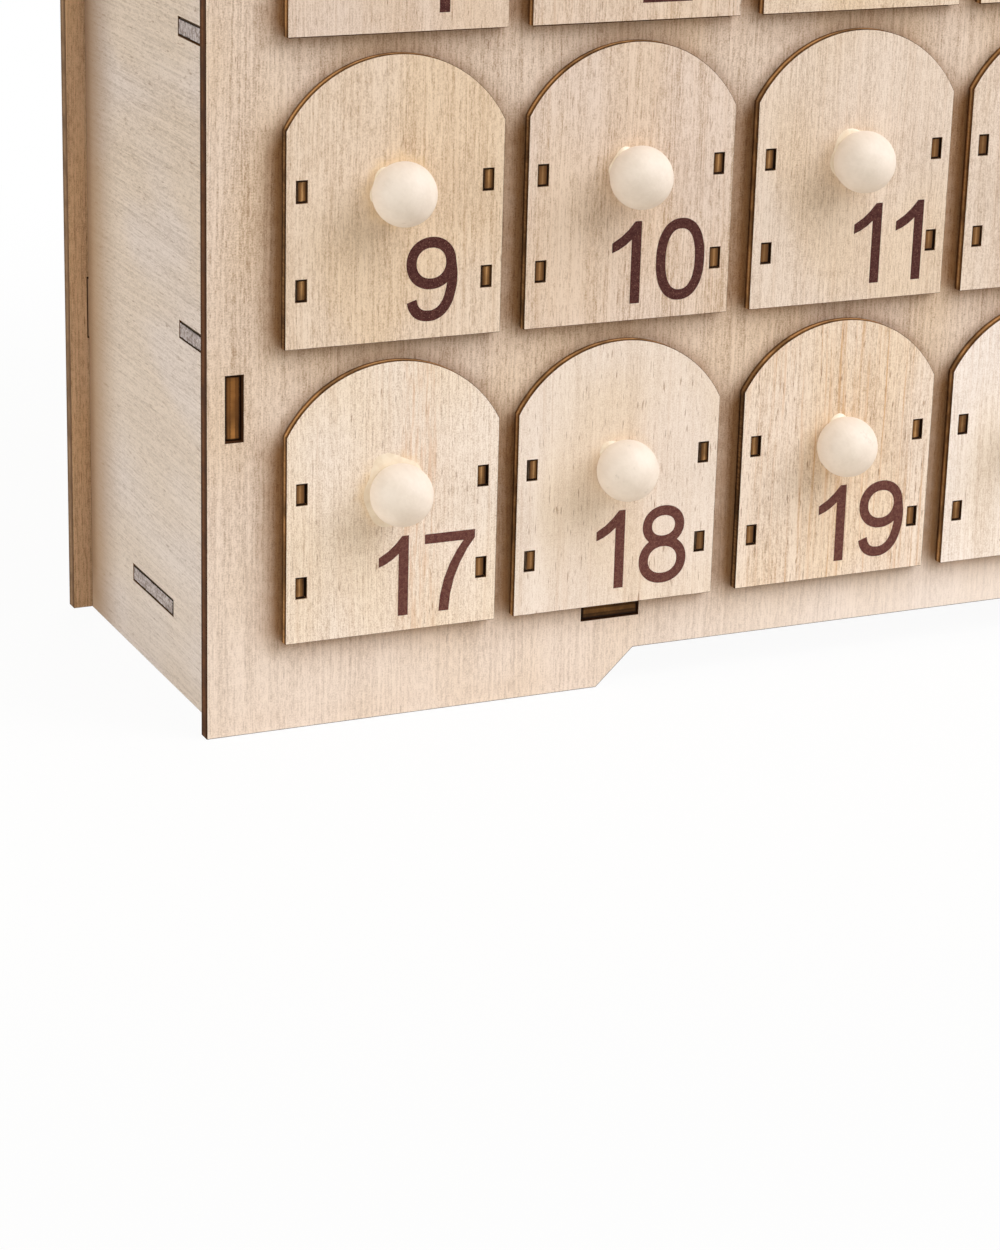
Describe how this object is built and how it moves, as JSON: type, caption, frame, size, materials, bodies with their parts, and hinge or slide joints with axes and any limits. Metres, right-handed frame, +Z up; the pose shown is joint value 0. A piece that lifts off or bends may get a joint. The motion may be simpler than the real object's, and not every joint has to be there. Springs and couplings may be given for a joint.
{
  "type": "light-up advent calendar",
  "caption": "Plywood cabinet with sliding numbered drawers, a cut-out village on its roof and battery LEDs in the sky board behind it.",
  "frame": {"origin": "on the table, in the middle of the object's bounding box across and in depth", "axes": "+X to the right as seen from the front, +Y from the drawers to the rear, +Z up"},
  "size_m": [0.4086, 0.1184, 0.3852],
  "materials": {
    "cabinet_plywood": "bare poplar plywood, laser-cut edges",
    "drawer_plywood": "bare poplar plywood, laser-cut edges",
    "scene_plywood": "bare poplar plywood, laser-cut edges",
    "knob_wood": "smooth turned beech ball",
    "case_plastic": "fine spark-eroded texture",
    "switch_plastic": "moulded, ribbed thumb piece",
    "cell_jacket": "printed film sleeve over a steel can",
    "contact_steel": "nickel-plated sheet",
    "led_resin": "clear warm-white epoxy",
    "wire_jacket": "thin PVC insulation"
  },
  "bodies": {
    "cabinet": {"front_board": "cabinet_plywood", "rear_board": "cabinet_plywood", "side_wall_left": "cabinet_plywood", "side_wall_right": "cabinet_plywood", "bottom_board": "cabinet_plywood", "shelf_lower": "cabinet_plywood", "shelf_upper": "cabinet_plywood", "stage_board": "cabinet_plywood", "divider_1": "cabinet_plywood", "divider_2": "cabinet_plywood", "divider_3": "cabinet_plywood", "divider_4": "cabinet_plywood", "divider_5": "cabinet_plywood", "divider_6": "cabinet_plywood", "divider_7": "cabinet_plywood", "houses_board": "scene_plywood", "church_board": "scene_plywood", "fir_left": "scene_plywood", "fir_right": "scene_plywood", "battery_case": "case_plastic", "battery_cell_upper": "cell_jacket", "battery_cell_lower": "cell_jacket", "contact_bridge": "contact_steel", "contact_upper": "contact_steel", "contact_lower": "contact_steel", "led_1": "led_resin", "led_2": "led_resin", "led_3": "led_resin", "led_4": "led_resin", "led_5": "led_resin", "led_6": "led_resin", "led_7": "led_resin", "led_8": "led_resin", "led_wire": "wire_jacket"},
    "drawer_01": {"drawer_01": "drawer_plywood"},
    "drawer_02": {"drawer_02": "drawer_plywood"},
    "drawer_03": {"drawer_03": "drawer_plywood"},
    "drawer_04": {"drawer_04": "drawer_plywood"},
    "drawer_05": {"drawer_05": "drawer_plywood"},
    "drawer_06": {"drawer_06": "drawer_plywood"},
    "drawer_07": {"drawer_07": "drawer_plywood"},
    "drawer_08": {"drawer_08": "drawer_plywood"},
    "drawer_09": {"drawer_09": "drawer_plywood"},
    "drawer_10": {"drawer_10": "drawer_plywood"},
    "drawer_11": {"drawer_11": "drawer_plywood"},
    "drawer_12": {"drawer_12": "drawer_plywood"},
    "drawer_13": {"drawer_13": "drawer_plywood"},
    "drawer_14": {"drawer_14": "drawer_plywood"},
    "drawer_15": {"drawer_15": "drawer_plywood"},
    "drawer_16": {"drawer_16": "drawer_plywood"},
    "drawer_17": {"drawer_17": "drawer_plywood"},
    "drawer_18": {"drawer_18": "drawer_plywood"},
    "drawer_19": {"drawer_19": "drawer_plywood"},
    "drawer_20": {"drawer_20": "drawer_plywood"},
    "drawer_21": {"drawer_21": "drawer_plywood"},
    "drawer_22": {"drawer_22": "drawer_plywood"},
    "drawer_23": {"drawer_23": "drawer_plywood"},
    "drawer_24": {"drawer_24": "drawer_plywood"},
    "battery_lid": {"battery_lid": "case_plastic"},
    "switch_slider": {"switch_slider": "switch_plastic"}
  },
  "joints": [
    {"name": "drawer_01_slide", "type": "slide", "parent": "cabinet", "child": "drawer_01", "axis": [0, -1, 0], "range_m": [0, 0.06]},
    {"name": "drawer_02_slide", "type": "slide", "parent": "cabinet", "child": "drawer_02", "axis": [0, -1, 0], "range_m": [0, 0.06]},
    {"name": "drawer_03_slide", "type": "slide", "parent": "cabinet", "child": "drawer_03", "axis": [0, -1, 0], "range_m": [0, 0.06]},
    {"name": "drawer_04_slide", "type": "slide", "parent": "cabinet", "child": "drawer_04", "axis": [0, -1, 0], "range_m": [0, 0.06]},
    {"name": "drawer_05_slide", "type": "slide", "parent": "cabinet", "child": "drawer_05", "axis": [0, -1, 0], "range_m": [0, 0.06]},
    {"name": "drawer_06_slide", "type": "slide", "parent": "cabinet", "child": "drawer_06", "axis": [0, -1, 0], "range_m": [0, 0.06]},
    {"name": "drawer_07_slide", "type": "slide", "parent": "cabinet", "child": "drawer_07", "axis": [0, -1, 0], "range_m": [0, 0.06]},
    {"name": "drawer_08_slide", "type": "slide", "parent": "cabinet", "child": "drawer_08", "axis": [0, -1, 0], "range_m": [0, 0.06]},
    {"name": "drawer_09_slide", "type": "slide", "parent": "cabinet", "child": "drawer_09", "axis": [0, -1, 0], "range_m": [0, 0.06]},
    {"name": "drawer_10_slide", "type": "slide", "parent": "cabinet", "child": "drawer_10", "axis": [0, -1, 0], "range_m": [0, 0.06]},
    {"name": "drawer_11_slide", "type": "slide", "parent": "cabinet", "child": "drawer_11", "axis": [0, -1, 0], "range_m": [0, 0.06]},
    {"name": "drawer_12_slide", "type": "slide", "parent": "cabinet", "child": "drawer_12", "axis": [0, -1, 0], "range_m": [0, 0.06]},
    {"name": "drawer_13_slide", "type": "slide", "parent": "cabinet", "child": "drawer_13", "axis": [0, -1, 0], "range_m": [0, 0.06]},
    {"name": "drawer_14_slide", "type": "slide", "parent": "cabinet", "child": "drawer_14", "axis": [0, -1, 0], "range_m": [0, 0.06]},
    {"name": "drawer_15_slide", "type": "slide", "parent": "cabinet", "child": "drawer_15", "axis": [0, -1, 0], "range_m": [0, 0.06]},
    {"name": "drawer_16_slide", "type": "slide", "parent": "cabinet", "child": "drawer_16", "axis": [0, -1, 0], "range_m": [0, 0.06]},
    {"name": "drawer_17_slide", "type": "slide", "parent": "cabinet", "child": "drawer_17", "axis": [0, -1, 0], "range_m": [0, 0.06]},
    {"name": "drawer_18_slide", "type": "slide", "parent": "cabinet", "child": "drawer_18", "axis": [0, -1, 0], "range_m": [0, 0.06]},
    {"name": "drawer_19_slide", "type": "slide", "parent": "cabinet", "child": "drawer_19", "axis": [0, -1, 0], "range_m": [0, 0.06]},
    {"name": "drawer_20_slide", "type": "slide", "parent": "cabinet", "child": "drawer_20", "axis": [0, -1, 0], "range_m": [0, 0.06]},
    {"name": "drawer_21_slide", "type": "slide", "parent": "cabinet", "child": "drawer_21", "axis": [0, -1, 0], "range_m": [0, 0.06]},
    {"name": "drawer_22_slide", "type": "slide", "parent": "cabinet", "child": "drawer_22", "axis": [0, -1, 0], "range_m": [0, 0.06]},
    {"name": "drawer_23_slide", "type": "slide", "parent": "cabinet", "child": "drawer_23", "axis": [0, -1, 0], "range_m": [0, 0.06]},
    {"name": "drawer_24_slide", "type": "slide", "parent": "cabinet", "child": "drawer_24", "axis": [0, -1, 0], "range_m": [0, 0.06]},
    {"name": "battery_lid_slide", "type": "slide", "parent": "cabinet", "child": "battery_lid", "axis": [1, 0, 0], "range_m": [0, 0.058]},
    {"name": "switch_slide", "type": "slide", "parent": "cabinet", "child": "switch_slider", "axis": [0, 0, 1], "range_m": [0, 0.003]}
  ]
}
